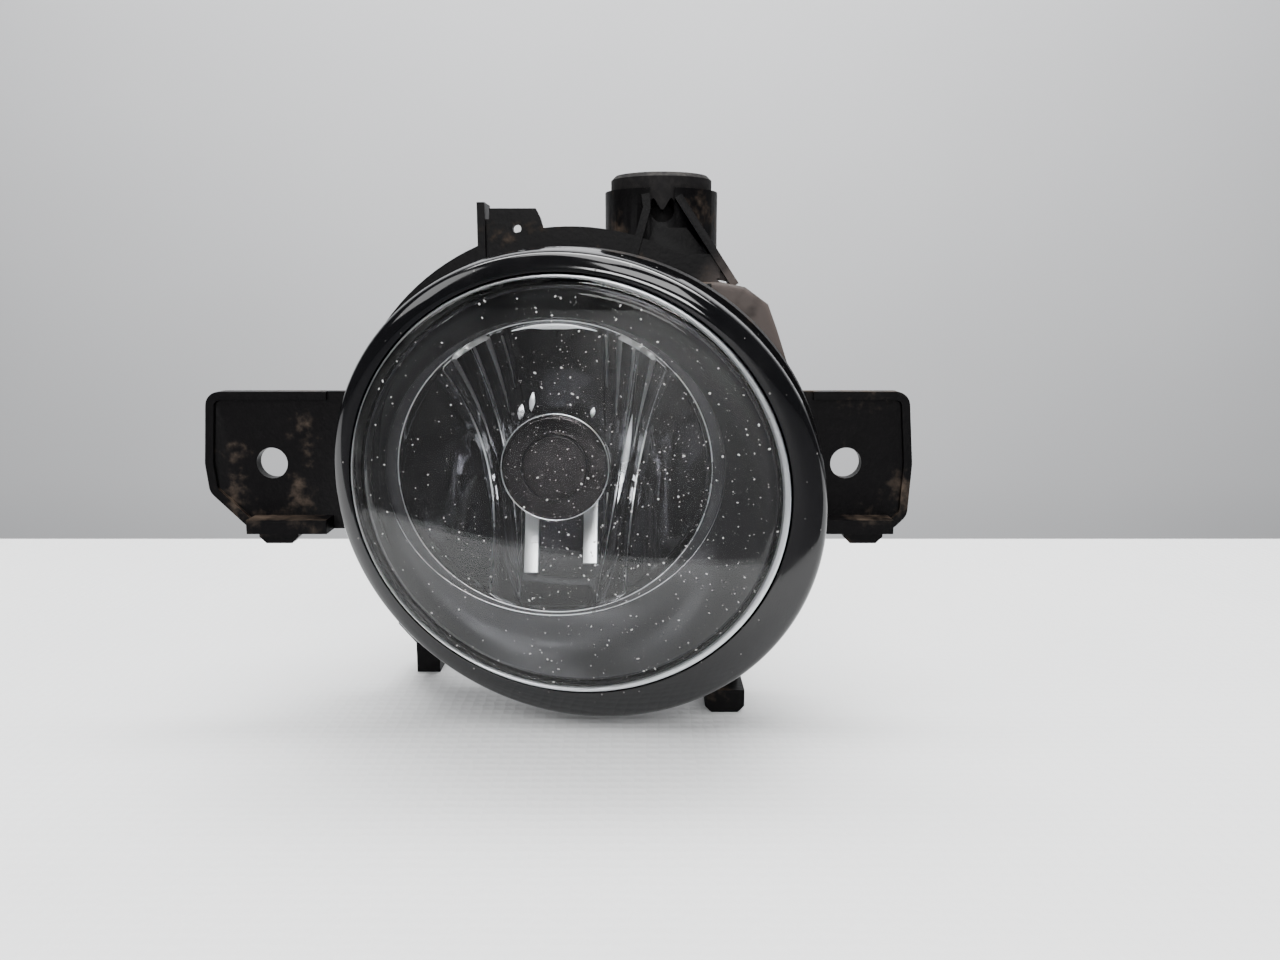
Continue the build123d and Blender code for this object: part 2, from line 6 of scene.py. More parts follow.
import bmesh
import bpy
import numpy as np
from bpy.props import FloatProperty, FloatVectorProperty, IntProperty, PointerProperty
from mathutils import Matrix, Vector

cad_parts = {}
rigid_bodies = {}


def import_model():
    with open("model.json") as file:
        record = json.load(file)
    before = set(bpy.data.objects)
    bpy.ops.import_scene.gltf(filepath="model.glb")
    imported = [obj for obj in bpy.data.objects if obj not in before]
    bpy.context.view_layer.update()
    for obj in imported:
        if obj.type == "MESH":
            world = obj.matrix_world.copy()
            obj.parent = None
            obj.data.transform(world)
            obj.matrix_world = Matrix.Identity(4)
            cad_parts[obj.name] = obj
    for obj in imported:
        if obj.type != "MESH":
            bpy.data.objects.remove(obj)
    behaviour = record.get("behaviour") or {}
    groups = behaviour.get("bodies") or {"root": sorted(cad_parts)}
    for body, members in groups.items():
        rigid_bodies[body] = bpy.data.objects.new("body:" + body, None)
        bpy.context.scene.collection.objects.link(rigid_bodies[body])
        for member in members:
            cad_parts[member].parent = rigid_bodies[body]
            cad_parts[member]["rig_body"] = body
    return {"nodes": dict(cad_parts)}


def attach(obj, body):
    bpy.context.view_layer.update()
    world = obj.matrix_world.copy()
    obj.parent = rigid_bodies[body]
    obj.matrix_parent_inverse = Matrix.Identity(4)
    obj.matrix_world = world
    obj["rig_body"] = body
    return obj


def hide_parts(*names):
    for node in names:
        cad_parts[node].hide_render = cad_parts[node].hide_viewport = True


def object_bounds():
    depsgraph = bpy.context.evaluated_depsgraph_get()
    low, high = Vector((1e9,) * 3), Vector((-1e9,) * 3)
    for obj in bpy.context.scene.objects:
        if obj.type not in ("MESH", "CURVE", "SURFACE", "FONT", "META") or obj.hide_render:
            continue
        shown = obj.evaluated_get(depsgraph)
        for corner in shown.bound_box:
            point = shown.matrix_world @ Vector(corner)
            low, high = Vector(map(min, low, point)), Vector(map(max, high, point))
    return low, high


bl_info = {
    "name": "Round Fog Lamp",
    "version": (1, 0, 0),
    "blender": (4, 5, 0),
    "location": "View3D > Sidebar > Fog Lamp",
    "description": "Builds a round fog lamp with its glass, reflector, rim and carrier",
    "category": "Add Mesh",
}

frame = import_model()
CAD_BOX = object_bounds()
MM = 0.001

# the plane of the front glass, as in the CAD model; places are in millimetres
YAW, PITCH = math.radians(7.0), math.radians(10.5)
ACROSS = np.array([math.cos(YAW), -math.sin(YAW), 0.0])
FORWARD = np.array(
    [-math.sin(YAW) * math.cos(PITCH), -math.cos(YAW) * math.cos(PITCH), -math.sin(PITCH)]
)
UPWARD = np.cross(FORWARD, ACROSS)
GLASS_CENTRE = np.array([2.9, -22.0, -3.6])
RIM_CENTRE = GLASS_CENTRE + 1.3 * ACROSS - 1.8 * UPWARD
RIM_SQUASH = 1.9

# the reflector's mouth, the outside of the flat edge round it, and the bulb's cap
MOUTH_Y = -7.0
EDGE_HALF_WIDTH, EDGE_HALF_HEIGHT = 34.5, 30.6
CAP_FRONT = -8.4
CAP_AXES = ((0, 0, 0.6), (0, 1, 0), (1, 0, 0))

# stage, in metres: the table is cut where the lamp stops mirroring it; beyond the cut it mirrors a dark
# sheet instead, a painted dark reflection
TABLE_SIDE, TABLE_FRONT, TABLE_CUT, TABLE_BACK = 1.2, -0.9, -0.07, 0.16
FLOOR_DROP = 0.002
WALL_SIDE, WALL_Y, WALL_LOW, WALL_TOP = 3.0, 1.2, -1.5, 2.5
WORLD_STRENGTH = 0.09
CAMERA_PLACE, CAMERA_TILT, CAMERA_LENS = (0.01695, -0.20664, 0.03283), math.radians(80.0), 28.125
LIGHTS = (
    # name, place, where it looks, width and height, power in watts
    ("overhead", (0.1, -0.1, 0.8), (0, 0, 0), (0.9, 0.6), 14.0),
    ("front_key", (0.15, -0.85, 0.62), (0, 0, 0), (0.5, 0.35), 5.0),
    ("front_strip", (-0.03, -1.3, 0.27), (0, 0, 0), (0.56, 0.2), 10.0),
    ("side_fill", (-0.9, -0.5, 0.6), (0, 0, 0), (0.4, 0.5), 3.0),
    ("wall_wash", (0.0, 0.35, 1.3), (0, 1.2, 0.1), (1.8, 0.5), 46.0),
)


# ---------------------------------------------------------------- sizes and colours


class LampGlassSettings(bpy.types.PropertyGroup):
    """Sizes of the glass and of the rim round it"""

    lens_radius: FloatProperty(
        name="Glass radius", description="Radius of the front glass",
        default=42.2 * MM, min=0.02, unit="LENGTH",
    )
    lens_dome: FloatProperty(
        name="Dome height", description="How far the glass bulges forward",
        default=3.4 * MM, min=0.0, unit="LENGTH",
    )
    lens_wall: FloatProperty(
        name="Glass thickness", description="Thickness of the dome",
        default=2.4 * MM, min=0.0005, unit="LENGTH",
    )
    rim_radius: FloatProperty(
        name="Rim radius", description="Outer radius of the gloss rim",
        default=48.6 * MM, min=0.02, unit="LENGTH",
    )
    rim_colour: FloatVectorProperty(
        name="Rim colour", description="Colour of the gloss rim",
        subtype="COLOR", default=(0.0025, 0.0025, 0.003),
    )
    dust_flecks: IntProperty(
        name="Dust flecks", description="How many dust flecks lie on the glass",
        default=1100, min=0, max=4000,
    )


class LampReflectorSettings(bpy.types.PropertyGroup):
    """Sizes of the reflector and its bands"""

    half_width: FloatProperty(
        name="Half width", description="Half the width of the mouth",
        default=31.5 * MM, min=0.01, unit="LENGTH",
    )
    half_height: FloatProperty(
        name="Half height", description="Half the height of the mouth",
        default=29.6 * MM, min=0.01, unit="LENGTH",
    )
    depth: FloatProperty(
        name="Depth", description="Depth from mouth to vertex",
        default=28.9 * MM, min=0.005, unit="LENGTH",
    )
    # painted shade: the film's default colour is far darker than bright metal, so the reflector's
    # reflections come out dark
    mirror_colour: FloatVectorProperty(
        name="Mirror colour", description="Colour of the bright metal film",
        subtype="COLOR", default=(0.15, 0.15, 0.16),
    )


class LampCarrierSettings(bpy.types.PropertyGroup):
    """Colours of the carrier and its dirt"""

    plastic_colour: FloatVectorProperty(
        name="Plastic colour", description="Colour of clean carrier plastic",
        subtype="COLOR", default=(0.0022, 0.002, 0.0023),
    )
    dirt_colour: FloatVectorProperty(
        name="Dirt colour", description="Colour of road dirt",
        subtype="COLOR", default=(0.085, 0.062, 0.046),
    )
    dust_colour: FloatVectorProperty(
        name="Dust colour", description="Colour of pale dust",
        subtype="COLOR", default=(0.2, 0.18, 0.16),
    )


# ---------------------------------------------------------------- mesh tools


def loft_mesh(name, grid, wrap_u=True, wrap_v=True):
    """Skin over a grid of points, in metres. Point (u, v) is a corner of the four-sided face
    (u, v), (u+1, v), (u+1, v+1), (u, v+1); an axis that wraps joins its last row to its first."""
    grid = np.asarray(grid, float)
    index = np.arange(grid.shape[0] * grid.shape[1]).reshape(grid.shape[:2])
    here = index if wrap_u else index[:-1]
    there = np.roll(index, -1, 0) if wrap_u else index[1:]
    if wrap_v:
        quads = np.stack([here, there, np.roll(there, -1, 1), np.roll(here, -1, 1)], -1)
    else:
        quads = np.stack([here[:, :-1], there[:, :-1], there[:, 1:], here[:, 1:]], -1)
    return vertices_to_mesh(name, grid.reshape(-1, 3), quads.reshape(-1, 4))


def vertices_to_mesh(name, points, faces):
    """Mesh from an array of points and an array of faces with the same number of corners each."""
    mesh = bpy.data.meshes.new(name)
    count, corners = faces.shape
    mesh.vertices.add(len(points))
    mesh.vertices.foreach_set("co", np.ascontiguousarray(points, np.float32).ravel())
    mesh.loops.add(count * corners)
    mesh.loops.foreach_set("vertex_index", np.ascontiguousarray(faces, np.int32).ravel())
    mesh.polygons.add(count)
    mesh.polygons.foreach_set("loop_start", np.arange(0, count * corners, corners, dtype=np.int32))
    mesh.update(calc_edges=True)
    mesh.validate()
    return mesh


def finish_piece(
    name, meshes, finish, replaces=(), smooth_angle=40.0, body="lamp", outward=True
):
    """Joins skins into one object, merges seams and poles, turns faces outwards, and rides it
    on its body."""
    bm = bmesh.new()
    for mesh in meshes:
        bm.from_mesh(mesh)
        bpy.data.meshes.remove(mesh)
    bmesh.ops.remove_doubles(bm, verts=bm.verts, dist=1e-6)
    bmesh.ops.dissolve_degenerate(bm, edges=bm.edges, dist=1e-7)
    if outward:
        bmesh.ops.recalc_face_normals(bm, faces=bm.faces)
    joined = bpy.data.meshes.new(name)
    bm.to_mesh(joined)
    bm.free()
    obj = bpy.data.objects.new(name, joined)
    bpy.context.scene.collection.objects.link(obj)
    joined.materials.append(MATERIALS[finish])
    joined.shade_smooth()
    joined.set_sharp_from_angle(angle=math.radians(smooth_angle))
    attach(obj, body)
    for node in replaces:
        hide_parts(node)
    return obj


def rounded_line(points, radius, steps=5, closed=True):
    """Line with each corner replaced by a tangent arc: the arc starts radius / tan(half angle)
    before the corner, and follows a quadratic curve whose middle control is the corner."""
    points = np.asarray(points, float)
    radii = np.broadcast_to(np.asarray(radius, float), (len(points),))
    before, after = np.roll(points, 1, 0), np.roll(points, -1, 0)
    out = []
    t = np.linspace(0, 1, steps)[:, None]
    for i, (corner, p, n, r) in enumerate(zip(points, before, after, radii)):
        if r <= 0 or (not closed and i in (0, len(points) - 1)):
            out.append(corner[None])
            continue
        back, ahead = p - corner, n - corner
        lb, la = np.linalg.norm(back), np.linalg.norm(ahead)
        reach = min(r, 0.48 * lb, 0.48 * la)
        start, end = corner + back / lb * reach, corner + ahead / la * reach
        out.append((1 - t) ** 2 * start + 2 * t * (1 - t) * corner + t**2 * end)
    return np.concatenate(out)


def circle(steps, radius=1.0):
    """Points (radius * cos a, radius * sin a) at even angles round a circle."""
    angle = np.linspace(0, 2 * math.pi, steps, endpoint=False)
    return radius * np.stack([np.cos(angle), np.sin(angle)], 1)


def oval(half_width, half_height, steps):
    """Upright oval: points (w * cos a, 0, h * sin a)."""
    x, z = circle(steps).T
    return np.stack([half_width * x, 0 * x, half_height * z], 1)


def turned_grid(centre, axis, x_dir, profile, steps):
    """Profile of (radius, height) turned about an axis: point = centre + height * axis
    + radius * (cos a * x_dir + sin a * (axis x x_dir))."""
    axis, x_dir = np.asarray(axis, float), np.asarray(x_dir, float)
    turn = circle(steps)
    ring = turn[:, :1] * x_dir + turn[:, 1:] * np.cross(axis, x_dir)
    profile = np.asarray(profile, float)
    grid = ring[:, None] * profile[None, :, :1] + axis * profile[None, :, 1:2]
    return (grid + np.asarray(centre, float)) * MM


# ---------------------------------------------------------------- shader groups


class Net:
    """Small helper round a node tree: adds nodes and joins sockets."""

    def __init__(self, tree):
        self.tree = tree

    def add(self, kind, **inputs):
        node = self.tree.nodes.new(kind)
        for key, value in inputs.items():
            if key.startswith("p_"):
                setattr(node, key[2:], value)
            else:
                self.put(node, key, value)
        return node

    def put(self, node, key, value):
        numbered = key[0] == "i" and key[1:].isdigit()
        socket = node.inputs[int(key[1:]) if numbered else key.replace("_", " ")]
        if isinstance(value, bpy.types.NodeSocket):
            self.tree.links.new(value, socket)
        else:
            socket.default_value = value
        return node

    def ramp(self, value, low, high):
        """0 at low, 1 at high, eased between, clamped."""
        node = self.add("ShaderNodeMapRange", i0=value, i1=low, i2=high)
        node.interpolation_type = "SMOOTHSTEP"
        return node.outputs[0]

    def maths(self, kind, a, b):
        return self.add("ShaderNodeMath", p_operation=kind, i0=a, i1=b).outputs[0]

    def plus(self, a, b):
        return self.maths("ADD", a, b)

    def minus(self, a, b):
        return self.maths("SUBTRACT", a, b)

    def times(self, a, b):
        return self.maths("MULTIPLY", a, b)

    def noise(self, vector, scale, **extra):
        """Value of a noise texture, about 0.5 on the whole."""
        return self.add("ShaderNodeTexNoise", Vector=vector, Scale=scale, **extra).outputs["Fac"]


def new_group(name, inputs, outputs):
    """Node group with named sockets: inputs as (name, kind, default), outputs as (name, kind)."""
    tree = bpy.data.node_groups.new(name, "ShaderNodeTree")
    for label, kind, default in inputs:
        socket = tree.interface.new_socket(name=label, in_out="INPUT", socket_type=kind)
        socket.default_value = default
    for label, kind in outputs:
        tree.interface.new_socket(name=label, in_out="OUTPUT", socket_type=kind)
    net = Net(tree)
    return net, net.add("NodeGroupInput").outputs, net.add("NodeGroupOutput")


def number(label, default):
    """Row for a number socket of a node group."""
    return label, "NodeSocketFloat", default


PLACE_INPUT = ("Vector", "NodeSocketVector", (0, 0, 0))


def dirt_group():
    """Road dirt: mask = soft threshold of a coarse noise plus a little of a fine one, plus more on
    faces that look up."""
    net, given, out = new_group(
        "Road Dirt",
        [PLACE_INPUT, number("Scale", 60.0), number("Amount", 0.4)],
        [("Patches", "NodeSocketFloat"), ("Dust", "NodeSocketFloat")],
    )
    big = net.noise(given["Vector"], given["Scale"], Detail=5.0, Roughness=0.62)
    fine = net.noise(given["Vector"], net.times(given["Scale"], 9.0), Detail=3.0)
    normal = net.add("ShaderNodeNewGeometry").outputs["Normal"]
    up = net.add("ShaderNodeSeparateXYZ", i0=normal).outputs["Z"]
    lift = net.times(net.ramp(up, 0.1, 0.9), 0.09)
    edge = net.minus(0.78, net.times(given["Amount"], 0.42))
    raised = net.plus(net.plus(big, net.times(net.minus(fine, 0.5), 0.18)), lift)
    net.put(out, "Patches", net.ramp(net.minus(raised, edge), -0.04, 0.16))
    dust = net.times(net.ramp(fine, 0.35, 0.75), net.plus(0.25, net.ramp(up, 0.0, 1.0)))
    net.put(out, "Dust", dust)
    return net.tree


def grain_group():
    """Moulded grain: height = fine noise plus a shallow longer wave of noise."""
    net, given, out = new_group(
        "Moulded Grain", [PLACE_INPUT, number("Scale", 900.0)], [("Height", "NodeSocketFloat")]
    )
    fine = net.noise(given["Vector"], given["Scale"], Detail=3.0)
    wave = net.noise(given["Vector"], net.times(given["Scale"], 0.12))
    net.put(out, "Height", net.plus(fine, net.times(wave, 1.5)))
    return net.tree


def speck_group():
    """Specks: mask = 1 near the middle of a few random cells, from the distance to that middle."""
    net, given, out = new_group(
        "Fine Specks",
        [PLACE_INPUT, number("Scale", 700.0), number("Size", 0.12)],
        [("Mask", "NodeSocketFloat")],
    )
    cells = net.add("ShaderNodeTexVoronoi", Vector=given["Vector"], Scale=given["Scale"])
    pick = net.add("ShaderNodeSeparateColor", i0=cells.outputs["Color"]).outputs["Red"]
    size = net.times(given["Size"], net.ramp(pick, 0.6, 1.0))
    net.put(out, "Mask", net.ramp(net.minus(size, cells.outputs["Distance"]), 0.0, 0.04))
    return net.tree


GROUPS = {}


def group(name):
    """The shared node group of that name, built on first use."""
    makers = {"Road Dirt": dirt_group, "Moulded Grain": grain_group, "Fine Specks": speck_group}
    if name not in GROUPS:
        GROUPS[name] = makers[name]()
    return GROUPS[name]


def new_material(name):
    material = bpy.data.materials.new(name)
    material.use_nodes = True
    net = Net(material.node_tree)
    shader = material.node_tree.nodes["Principled BSDF"]
    place = net.add("ShaderNodeTexCoord").outputs["Object"]
    return material, net, shader, place


def use_group(net, name, **inputs):
    node = net.add("ShaderNodeGroup", p_node_tree=group(name))
    for key, value in inputs.items():
        net.put(node, key, value)
    return node.outputs


def mixed(net, mask, first, second):
    node = net.add("ShaderNodeMix", p_data_type="RGBA")
    net.put(node, "i0", mask)
    net.put(node, "i6", first)
    net.put(node, "i7", second)
    return node.outputs[2]


def bumped(net, shader, height, strength, distance):
    bump = net.add("ShaderNodeBump", Strength=strength, Distance=distance, Height=height)
    net.put(shader, "Normal", bump.outputs["Normal"])


def rgb(colour):
    return (*colour, 1.0)


def dirty_plastic(
    name, colour, dirt, dust, amount, scale, roughness=0.5, grain=0.25, film=0.015, pale_spot=None
):
    """Moulded plastic: base colour under dirt patches and a film of dust, grain in its height.
    A pale spot is a centre in metres and a radius."""
    material, net, shader, place = new_material(name)
    marks = use_group(net, "Road Dirt", Vector=place, Scale=scale, Amount=amount)
    tint = net.noise(place, scale * 3.0, Detail=2.0)
    earth = mixed(net, net.ramp(tint, 0.35, 0.65), rgb(dirt), rgb([c * 0.45 for c in dirt]))
    filmed = mixed(net, net.times(marks["Dust"], film), rgb(colour), rgb(dust))
    dirty = mixed(net, net.times(marks["Patches"], 0.85), filmed, earth)
    if pale_spot:
        # a corner rubbed pale: full strength within half the spot's radius, none beyond it
        centre, reach = pale_spot[:3], pale_spot[3]
        away = net.add("ShaderNodeVectorMath", p_operation="DISTANCE", i0=place, i1=centre)
        near = net.ramp(away.outputs["Value"], reach, reach / 2)
        strength = net.times(near, net.ramp(tint, 0.1, 0.5))
        dirty = mixed(net, strength, dirty, rgb((0.062, 0.051, 0.047)))
    net.put(shader, "Base Color", dirty)
    net.put(shader, "Specular IOR Level", 0.07)
    net.put(shader, "Roughness", net.plus(roughness, net.times(marks["Patches"], 0.3)))
    height = use_group(net, "Moulded Grain", Vector=place, Scale=1400.0)["Height"]
    bumped(net, shader, net.plus(height, net.times(marks["Patches"], 0.8)), grain, 0.0002)
    return material


def bright_metal(name, colour, roughness, haze=0.05, specks=0.0):
    """Metal film: mirror with a slow noise in its roughness and a few dull specks."""
    material, net, shader, place = new_material(name)
    net.put(shader, "Metallic", 1.0)
    cloud = net.noise(place, 70.0, Detail=4.0)
    mask = use_group(net, "Fine Specks", Vector=place, Scale=900.0, Size=0.2)["Mask"]
    dull = rgb((0.5, 0.48, 0.45))
    net.put(shader, "Base Color", mixed(net, net.times(mask, specks), rgb(colour), dull))
    rough = net.plus(roughness, net.times(net.ramp(cloud, 0.3, 0.8), haze))
    net.put(shader, "Roughness", net.plus(rough, net.times(mask, 0.4 * specks)))
    return material


def brushed(name, colour, roughness):
    """Plated metal: streaks of noise stretched along one axis in colour and height."""
    material, net, shader, place = new_material(name)
    net.put(shader, "Metallic", 1.0)
    stretched = net.add("ShaderNodeMapping", Vector=place, Scale=(1.0, 1.0, 14.0)).outputs[0]
    streak = net.noise(stretched, 500.0, Detail=4.0)
    net.put(shader, "Base Color", mixed(net, streak, rgb(colour), rgb([c * 0.6 for c in colour])))
    net.put(shader, "Roughness", net.plus(roughness, net.times(streak, 0.15)))
    bumped(net, shader, streak, 0.15, 0.0001)
    return material


def gloss_black(name, colour):
    """Polished black plastic: near-mirror skin with faint specks and wiping haze."""
    material, net, shader, place = new_material(name)
    specks = use_group(net, "Fine Specks", Vector=place, Scale=650.0, Size=0.16)["Mask"]
    film = net.ramp(net.noise(place, 45.0, Detail=6.0, Roughness=0.7), 0.45, 0.8)
    haze = net.plus(net.times(specks, 0.35), net.times(film, 0.01))
    net.put(shader, "Base Color", mixed(net, haze, rgb(colour), rgb((0.3, 0.29, 0.28))))
    marks = net.plus(net.times(film, 0.12), net.times(specks, 0.4))
    net.put(shader, "Roughness", net.plus(0.07, marks))
    return material


def clear_glass(name, tint):
    """Clear glass: smear noise only in its roughness."""
    material, net, shader, place = new_material(name)
    net.put(shader, "Transmission Weight", 1.0)
    net.put(shader, "IOR", 1.36)
    net.put(shader, "Base Color", rgb(tint))
    smear = net.ramp(net.noise(place, 60.0, Detail=5.0), 0.5, 0.9)
    net.put(shader, "Roughness", net.times(smear, 0.01))
    return material


def haze_film(name):
    """Film of fine dust: pale and almost clear, thicker where a slow noise is high."""
    material, net, shader, place = new_material(name)
    cloud = net.ramp(net.noise(place, 30.0, Detail=6.0, Roughness=0.7), 0.35, 0.8)
    specks = use_group(net, "Fine Specks", Vector=place, Scale=850.0, Size=0.22)["Mask"]
    net.put(shader, "Base Color", rgb((0.62, 0.61, 0.6)))
    net.put(shader, "Roughness", 0.8)
    alpha = net.plus(net.times(cloud, 0.005), net.times(specks, 0.05))
    net.put(shader, "Alpha", net.plus(alpha, 0.002))
    return material


def dust_fleck(name):
    """Dust flecks: pale, with a slow noise between light and dark."""
    material, net, shader, place = new_material(name)
    shade = net.noise(place, 300.0)
    pale, dark = rgb((0.8, 0.79, 0.78)), rgb((0.3, 0.29, 0.28))
    net.put(shader, "Base Color", mixed(net, shade, pale, dark))
    net.put(shader, "Roughness", 0.85)
    return material


def rubber(name, colour):
    """Rubber: dull, with a little pale bloom and fine grain."""
    material, net, shader, place = new_material(name)
    bloom = net.ramp(net.noise(place, 120.0, Detail=5.0), 0.45, 0.9)
    pale = rgb([c * 3 + 0.02 for c in colour])
    net.put(shader, "Base Color", mixed(net, bloom, rgb(colour), pale))
    net.put(shader, "Roughness", 0.75)
    grain = use_group(net, "Moulded Grain", Vector=place, Scale=1800.0)["Height"]
    bumped(net, shader, grain, 0.2, 0.0001)
    return material


MATERIALS = {}


def make_materials():
    """Every finish of the lamp, made once and kept by name."""
    scene = bpy.context.scene
    glass, mirror, carrier = scene.lamp_glass, scene.lamp_reflector, scene.lamp_carrier
    plastic, dirt = tuple(carrier.plastic_colour), tuple(carrier.dirt_colour)
    dust = tuple(carrier.dust_colour)
    lug = (0.041, 0.004, 0.031, 0.016)
    MATERIALS.update(
        carrier=dirty_plastic("Carrier Plastic", plastic, dirt, dust, 0.46, 70.0, 0.42, pale_spot=lug),
        housing=dirty_plastic("Housing Plastic", plastic, dirt, dust, 0.3, 50.0, 0.45),
        adjuster=dirty_plastic(
            "Adjuster Plastic", (0.008, 0.0075, 0.0078), dirt, dust, 0.1, 90.0, 0.6, film=0.1
        ),
        socket=dirty_plastic("Socket Plastic", (0.014, 0.014, 0.015), dirt, dust, 0.2, 60.0, 0.4, 0.15),
        rim=gloss_black("Rim Gloss", tuple(glass.rim_colour)),
        glass=clear_glass("Front Glass", (0.98, 0.99, 0.99)),
        capsule=clear_glass("Capsule Glass", (0.97, 0.97, 0.98)),
        haze=haze_film("Dust Film"),
        fleck=dust_fleck("Dust Fleck"),
        edge=bright_metal("Lit Glass Edge", (0.75, 0.77, 0.79), 0.3, 0.1, 0.6),
        # painted shade: the reflector film, the shield and the trim are given dark colours, far below
        # bright metal, so their reflections inside the lamp come out dark
        reflector=bright_metal("Reflector Film", tuple(mirror.mirror_colour), 0.05, 0.05, 0.1),
        shield=bright_metal("Shield Bright Metal", (0.026, 0.023, 0.024), 0.08, 0.06, 0.3),
        # bright metal for the shield's legs, and also for painted highlights: the reflector's strips
        # and hoops and the glints on the cap
        leg=bright_metal("Leg And Highlight Metal", (0.8, 0.81, 0.83), 0.25, 0.1, 0.5),
        trim=bright_metal("Trim Satin Film", (0.038, 0.038, 0.041), 0.32, 0.08, 0.1),
        # painted highlights: the lighter metal of the soft streaks beside the reflector's panel
        streak=bright_metal("Painted Highlight Streak Metal", (0.42, 0.42, 0.42), 0.3, 0.1, 0.1),
        steel=brushed("Plated Steel", (0.58, 0.57, 0.55), 0.25),
        brass=brushed("Terminal Brass", (0.72, 0.58, 0.32), 0.22),
        rubber=rubber("Black Rubber", (0.018, 0.018, 0.018)),
    )


NODE_FINISH = {
    "carrier_frame": "carrier",
    "pivot_pin_right": "steel",
    "pivot_pin_left": "steel",
    "rear_housing": "housing",
    "lens_seal": "rubber",
    "vent_cap": "rubber",
    "bulb_base": "socket",
    "bulb_seal": "rubber",
    "bulb_glass": "capsule",
    "bulb_filament": "steel",
    "contact_blade_1": "brass",
    "contact_blade_2": "brass",
    "adjuster_wheel": "adjuster",
    "adjuster_screw": "steel",
    "screw_clip": "steel",
    "adjuster_nut": "adjuster",
    "reflector_screw_1": "steel",
    "reflector_screw_2": "steel",
    "reflector_screw_3": "steel",
}


# ---------------------------------------------------------------- pieces


class LAMP_OT_finishes(bpy.types.Operator):
    """Makes the finishes and gives the CAD pieces theirs"""

    bl_idname = "lamp.finishes"
    bl_label = "Finishes"

    def execute(self, context):
        make_materials()
        for node, finish in NODE_FINISH.items():
            obj = frame["nodes"][node]
            obj.data.materials.clear()
            obj.data.materials.append(MATERIALS[finish])
        return {"FINISHED"}


def dome_height(size, r, wall=0.0):
    """Height of the glass at distance r from its middle: height = dome - ball
    + sqrt((ball - wall)^2 - r^2), where ball = (radius^2 + dome^2) / (2 * dome)."""
    radius, dome = size.lens_radius / MM, size.lens_dome / MM
    ball = (radius**2 + dome**2) / (2 * dome)
    return dome - ball + np.sqrt((ball - wall) ** 2 - r**2)


class LAMP_OT_front_glass(bpy.types.Operator):
    """Builds the domed front glass"""

    bl_idname = "lamp.front_glass"
    bl_label = "Front glass"

    def execute(self, context):
        size = context.scene.lamp_glass
        radius, wall = size.lens_radius / MM, size.lens_wall / MM
        edge_radius, skirt_low, skirt_wall = 1.5, -6.0, 1.9
        r_out = np.linspace(0, radius - edge_radius, 40)
        outer = np.stack([r_out, dome_height(size, r_out)], 1)
        turn = np.linspace(math.radians(80), 0, 10)
        edge = edge_radius * np.stack([np.cos(turn) - 1, np.sin(turn) - 1], 1)
        edge += (radius, outer[-1, 1])
        inside = radius - skirt_wall
        skirt = rounded_line(
            [(radius, -1.6), (radius, skirt_low), (inside, skirt_low), (inside, -2.6)],
            [0, 0.3, 0.3, 0],
            4,
            False,
        )
        r_in = np.linspace(inside - 1.0, 0, 36)
        inner = np.stack([r_in, dome_height(size, r_in, wall)], 1)
        profile = np.concatenate([outer, edge, skirt, inner])
        grid = turned_grid(GLASS_CENTRE, FORWARD, ACROSS, profile, 256)
        glass = loft_mesh("glass", grid, True, False)
        finish_piece("front_glass", [glass], "glass", ["lens"], 60.0)
        # bead of light in the edge: an oval section, wider on the right where the circles part
        bead = circle(20, 0.5) + (0.5, -1.0)
        bead_centre = GLASS_CENTRE - 0.5 * ACROSS + 0.25 * UPWARD
        grid = ring_band(bead_centre, radius - 1.15, GLASS_CENTRE, radius - 0.2, bead, 256)
        finish_piece("glass_edge_bead", [loft_mesh("bead", grid)], "edge", (), 60.0)
        # film of dust: a thin skin just in front of the dome
        clearance, thickness = 0.04, 0.015
        r_film = np.linspace(0, radius - 1.2, 60)
        front = np.stack([r_film, dome_height(size, r_film) + clearance], 1)
        profile = np.concatenate([front, front[::-1] - (0, thickness)])
        grid = turned_grid(GLASS_CENTRE, FORWARD, ACROSS, profile, 128)
        film = loft_mesh("film", grid, True, False)
        finish_piece("glass_dust_film", [film], "haze", (), 60.0)
        return {"FINISHED"}


def ring_band(centre_in, radius_in, centre_out, radius_out, section, steps=288, squash=0.0):
    """Ring whose inside runs on one circle and outside on another: with w from 0 to 1 across,
    point = (1 - w) * inner circle + w * outer circle + height * forward. The outer radius falls
    by squash at both ends of the rising diagonal, as 1 + cos of twice the angle from it."""
    angle = np.linspace(0, 2 * math.pi, steps, endpoint=False)
    radius_out = (radius_out - squash / 2 * (1 + np.cos(2 * angle - math.pi / 2)))[:, None]
    spoke = np.cos(angle)[:, None] * ACROSS + np.sin(angle)[:, None] * UPWARD
    inner = centre_in + radius_in * spoke
    outer = centre_out + radius_out * spoke
    w, h = section[:, 0], section[:, 1]
    grid = inner[:, None] * (1 - w)[None, :, None] + outer[:, None] * w[None, :, None]
    return (grid + h[None, :, None] * FORWARD) * MM


